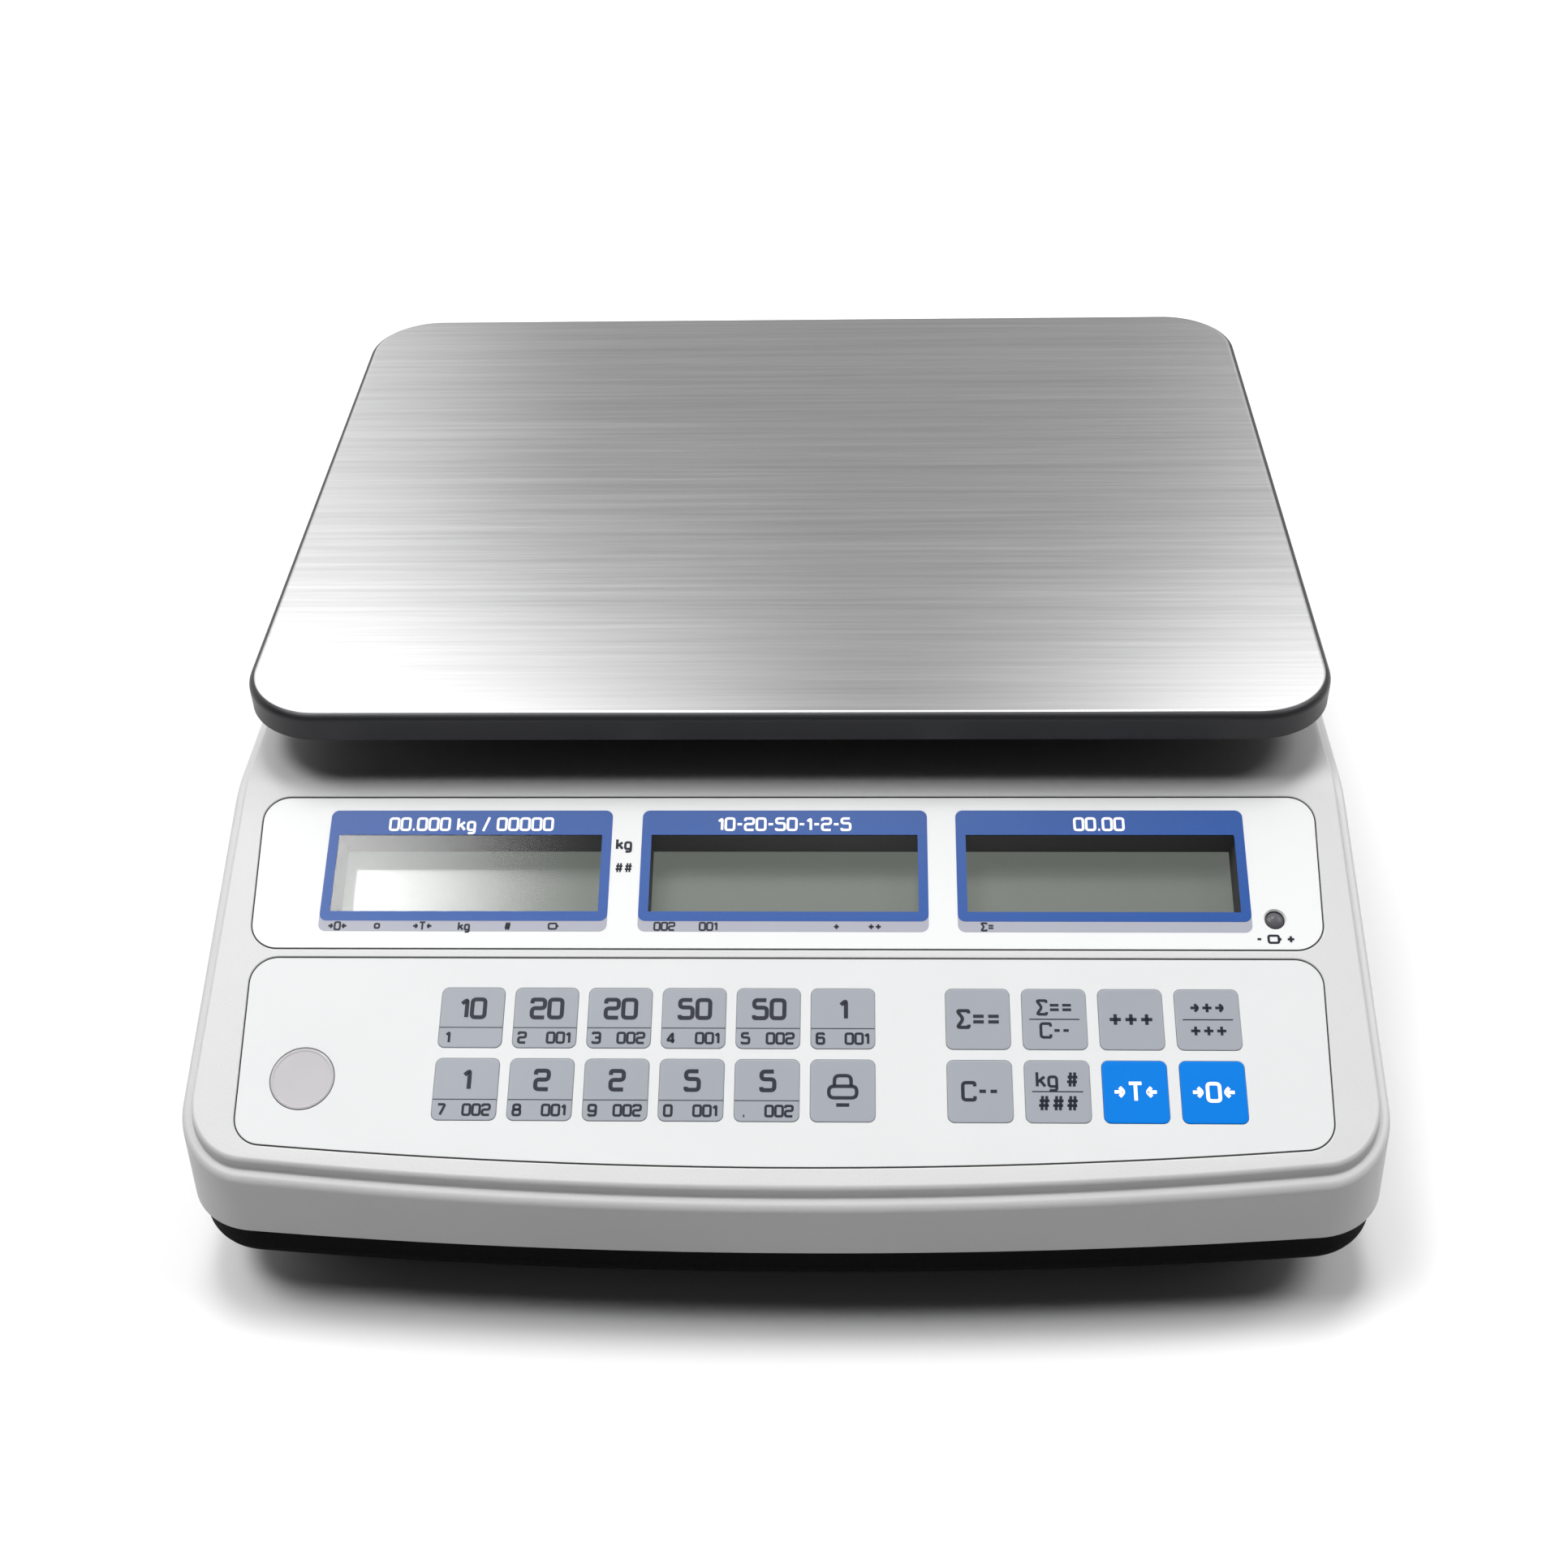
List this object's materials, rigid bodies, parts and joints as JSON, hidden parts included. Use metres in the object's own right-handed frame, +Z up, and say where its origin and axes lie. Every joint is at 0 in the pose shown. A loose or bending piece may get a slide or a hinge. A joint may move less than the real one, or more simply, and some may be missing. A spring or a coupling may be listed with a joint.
{
  "type": "counting scale",
  "caption": "Bench counting scale: brushed stainless pan on a load cell, sloping keypad and display panel, grey two-part housing, levelling feet.",
  "frame": {"origin": "on the table, under the middle of the body's footprint", "axes": "+Z up; the control panel faces -Y and the mains inlet is at +Y; +X is the user's right"},
  "size_m": [0.3072, 0.338, 0.115],
  "materials": {
    "housing_abs": "light grey moulded ABS with a fine spark texture",
    "base_abs": "black moulded ABS, fine texture",
    "overlay_film": "white satin polyester film",
    "circuit_film": "clear polyester with silver tracks",
    "key_grey": "grey printed satin film, embossed",
    "key_blue": "blue printed satin film, embossed",
    "clear_lens": "clear polished acrylic over a pale well",
    "level_fluid": "acrylic vial with pale yellow-green fluid",
    "led_lens": "unlit grey LED lens",
    "lcd_glass": "grey-green reflective liquid-crystal glass, blank",
    "circuit_board": "green solder mask",
    "stainless": "brushed left to right",
    "cast_aluminium": "as-cast satin",
    "cell_aluminium": "machined",
    "zinc_steel": "zinc plated",
    "rubber": "moulded matt",
    "black_plastic": "black nylon, satin",
    "battery_case": "dark grey battery case",
    "transformer_core": "varnished laminations"
  },
  "bodies": {
    "base": {"upper_housing": "housing_abs", "lower_housing": "base_abs", "battery_door": "base_abs", "keypad_overlay": "overlay_film", "keypad_circuit": "circuit_film", "display_overlay": "overlay_film", "lcd_left": "lcd_glass", "lcd_middle": "lcd_glass", "lcd_right": "lcd_glass", "display_board": "circuit_board", "charge_led": "led_lens", "level_window": "clear_lens", "level_vial": "level_fluid", "load_cell": "cell_aluminium", "cell_plinth": "cell_aluminium", "overload_stop": "zinc_steel", "battery": "battery_case", "transformer": "transformer_core", "main_board": "circuit_board", "mains_inlet": "black_plastic", "switch_frame": "black_plastic", "serial_port": "zinc_steel"},
    "platform": {"pan_spider": "cast_aluminium", "platform_post": "cell_aluminium", "pan_pad_front_left": "rubber", "pan_pad_front_right": "rubber", "pan_pad_rear_left": "rubber", "pan_pad_rear_right": "rubber"},
    "pan": {"weighing_pan": "stainless"},
    "rocker": {"switch_rocker": "black_plastic"},
    "key_left_1_1": {"key_left_1_1": "key_grey"},
    "key_left_1_2": {"key_left_1_2": "key_grey"},
    "key_left_1_3": {"key_left_1_3": "key_grey"},
    "key_left_1_4": {"key_left_1_4": "key_grey"},
    "key_left_1_5": {"key_left_1_5": "key_grey"},
    "key_left_1_6": {"key_left_1_6": "key_grey"},
    "key_right_1_1": {"key_right_1_1": "key_grey"},
    "key_right_1_2": {"key_right_1_2": "key_grey"},
    "key_right_1_3": {"key_right_1_3": "key_grey"},
    "key_right_1_4": {"key_right_1_4": "key_grey"},
    "key_left_2_1": {"key_left_2_1": "key_grey"},
    "key_left_2_2": {"key_left_2_2": "key_grey"},
    "key_left_2_3": {"key_left_2_3": "key_grey"},
    "key_left_2_4": {"key_left_2_4": "key_grey"},
    "key_left_2_5": {"key_left_2_5": "key_grey"},
    "key_left_2_6": {"key_left_2_6": "key_grey"},
    "key_right_2_1": {"key_right_2_1": "key_grey"},
    "key_right_2_2": {"key_right_2_2": "key_grey"},
    "key_right_2_3": {"key_right_2_3": "key_blue"},
    "key_right_2_4": {"key_right_2_4": "key_blue"},
    "sole_front_left": {"foot_sole_front_left": "rubber"},
    "stud_front_left": {"foot_stud_front_left": "black_plastic"},
    "sole_front_right": {"foot_sole_front_right": "rubber"},
    "stud_front_right": {"foot_stud_front_right": "black_plastic"},
    "sole_rear_left": {"foot_sole_rear_left": "rubber"},
    "stud_rear_left": {"foot_stud_rear_left": "black_plastic"},
    "sole_rear_right": {"foot_sole_rear_right": "rubber"},
    "stud_rear_right": {"foot_stud_rear_right": "black_plastic"}
  },
  "joints": [
    {"name": "platform_load", "type": "slide", "parent": "base", "child": "platform", "axis": [0, 0, -1], "range_m": [0, 0.00025], "stiffness_N_per_m": 60000, "springref_m": -0.0002},
    {"name": "pan_lift_off", "type": "slide", "parent": "platform", "child": "pan", "axis": [0, 0, 1], "range_m": [0, 0.05]},
    {"name": "power_rocker", "type": "hinge", "parent": "base", "child": "rocker", "pos_m": [0.078, 0.16, 0.055], "axis": [1, 0, 0], "range_deg": [0, 20]},
    {"name": "press_key_left_1_1", "type": "slide", "parent": "base", "child": "key_left_1_1", "axis": [0, 0.4003, -0.9164], "range_m": [0, 0.0003], "stiffness_N_per_m": 5000},
    {"name": "press_key_left_1_2", "type": "slide", "parent": "base", "child": "key_left_1_2", "axis": [0, 0.4003, -0.9164], "range_m": [0, 0.0003], "stiffness_N_per_m": 5000},
    {"name": "press_key_left_1_3", "type": "slide", "parent": "base", "child": "key_left_1_3", "axis": [0, 0.4003, -0.9164], "range_m": [0, 0.0003], "stiffness_N_per_m": 5000},
    {"name": "press_key_left_1_4", "type": "slide", "parent": "base", "child": "key_left_1_4", "axis": [0, 0.4003, -0.9164], "range_m": [0, 0.0003], "stiffness_N_per_m": 5000},
    {"name": "press_key_left_1_5", "type": "slide", "parent": "base", "child": "key_left_1_5", "axis": [0, 0.4003, -0.9164], "range_m": [0, 0.0003], "stiffness_N_per_m": 5000},
    {"name": "press_key_left_1_6", "type": "slide", "parent": "base", "child": "key_left_1_6", "axis": [0, 0.4003, -0.9164], "range_m": [0, 0.0003], "stiffness_N_per_m": 5000},
    {"name": "press_key_right_1_1", "type": "slide", "parent": "base", "child": "key_right_1_1", "axis": [0, 0.4003, -0.9164], "range_m": [0, 0.0003], "stiffness_N_per_m": 5000},
    {"name": "press_key_right_1_2", "type": "slide", "parent": "base", "child": "key_right_1_2", "axis": [0, 0.4003, -0.9164], "range_m": [0, 0.0003], "stiffness_N_per_m": 5000},
    {"name": "press_key_right_1_3", "type": "slide", "parent": "base", "child": "key_right_1_3", "axis": [0, 0.4003, -0.9164], "range_m": [0, 0.0003], "stiffness_N_per_m": 5000},
    {"name": "press_key_right_1_4", "type": "slide", "parent": "base", "child": "key_right_1_4", "axis": [0, 0.4003, -0.9164], "range_m": [0, 0.0003], "stiffness_N_per_m": 5000},
    {"name": "press_key_left_2_1", "type": "slide", "parent": "base", "child": "key_left_2_1", "axis": [0, 0.4003, -0.9164], "range_m": [0, 0.0003], "stiffness_N_per_m": 5000},
    {"name": "press_key_left_2_2", "type": "slide", "parent": "base", "child": "key_left_2_2", "axis": [0, 0.4003, -0.9164], "range_m": [0, 0.0003], "stiffness_N_per_m": 5000},
    {"name": "press_key_left_2_3", "type": "slide", "parent": "base", "child": "key_left_2_3", "axis": [0, 0.4003, -0.9164], "range_m": [0, 0.0003], "stiffness_N_per_m": 5000},
    {"name": "press_key_left_2_4", "type": "slide", "parent": "base", "child": "key_left_2_4", "axis": [0, 0.4003, -0.9164], "range_m": [0, 0.0003], "stiffness_N_per_m": 5000},
    {"name": "press_key_left_2_5", "type": "slide", "parent": "base", "child": "key_left_2_5", "axis": [0, 0.4003, -0.9164], "range_m": [0, 0.0003], "stiffness_N_per_m": 5000},
    {"name": "press_key_left_2_6", "type": "slide", "parent": "base", "child": "key_left_2_6", "axis": [0, 0.4003, -0.9164], "range_m": [0, 0.0003], "stiffness_N_per_m": 5000},
    {"name": "press_key_right_2_1", "type": "slide", "parent": "base", "child": "key_right_2_1", "axis": [0, 0.4003, -0.9164], "range_m": [0, 0.0003], "stiffness_N_per_m": 5000},
    {"name": "press_key_right_2_2", "type": "slide", "parent": "base", "child": "key_right_2_2", "axis": [0, 0.4003, -0.9164], "range_m": [0, 0.0003], "stiffness_N_per_m": 5000},
    {"name": "press_key_right_2_3", "type": "slide", "parent": "base", "child": "key_right_2_3", "axis": [0, 0.4003, -0.9164], "range_m": [0, 0.0003], "stiffness_N_per_m": 5000},
    {"name": "press_key_right_2_4", "type": "slide", "parent": "base", "child": "key_right_2_4", "axis": [0, 0.4003, -0.9164], "range_m": [0, 0.0003], "stiffness_N_per_m": 5000},
    {"name": "foot_travel_front_left", "type": "slide", "parent": "base", "child": "sole_front_left", "axis": [0, 0, -1], "range_m": [0, 0.0051]},
    {"name": "foot_turn_front_left", "type": "hinge", "parent": "sole_front_left", "child": "stud_front_left", "pos_m": [-0.122, -0.128, 0.01], "axis": [0, 0, -1], "range_deg": [0, 1440]},
    {"name": "foot_travel_front_right", "type": "slide", "parent": "base", "child": "sole_front_right", "axis": [0, 0, -1], "range_m": [0, 0.0051]},
    {"name": "foot_turn_front_right", "type": "hinge", "parent": "sole_front_right", "child": "stud_front_right", "pos_m": [0.122, -0.128, 0.01], "axis": [0, 0, -1], "range_deg": [0, 1440]},
    {"name": "foot_travel_rear_left", "type": "slide", "parent": "base", "child": "sole_rear_left", "axis": [0, 0, -1], "range_m": [0, 0.0051]},
    {"name": "foot_turn_rear_left", "type": "hinge", "parent": "sole_rear_left", "child": "stud_rear_left", "pos_m": [-0.122, 0.138, 0.01], "axis": [0, 0, -1], "range_deg": [0, 1440]},
    {"name": "foot_travel_rear_right", "type": "slide", "parent": "base", "child": "sole_rear_right", "axis": [0, 0, -1], "range_m": [0, 0.0051]},
    {"name": "foot_turn_rear_right", "type": "hinge", "parent": "sole_rear_right", "child": "stud_rear_right", "pos_m": [0.122, 0.138, 0.01], "axis": [0, 0, -1], "range_deg": [0, 1440]}
  ],
  "couplings": [
    {"joint": "foot_travel_front_left", "follows": "foot_turn_front_left", "m_per_rad": 0.00019894},
    {"joint": "foot_travel_front_right", "follows": "foot_turn_front_right", "m_per_rad": 0.00019894},
    {"joint": "foot_travel_rear_left", "follows": "foot_turn_rear_left", "m_per_rad": 0.00019894},
    {"joint": "foot_travel_rear_right", "follows": "foot_turn_rear_right", "m_per_rad": 0.00019894}
  ]
}
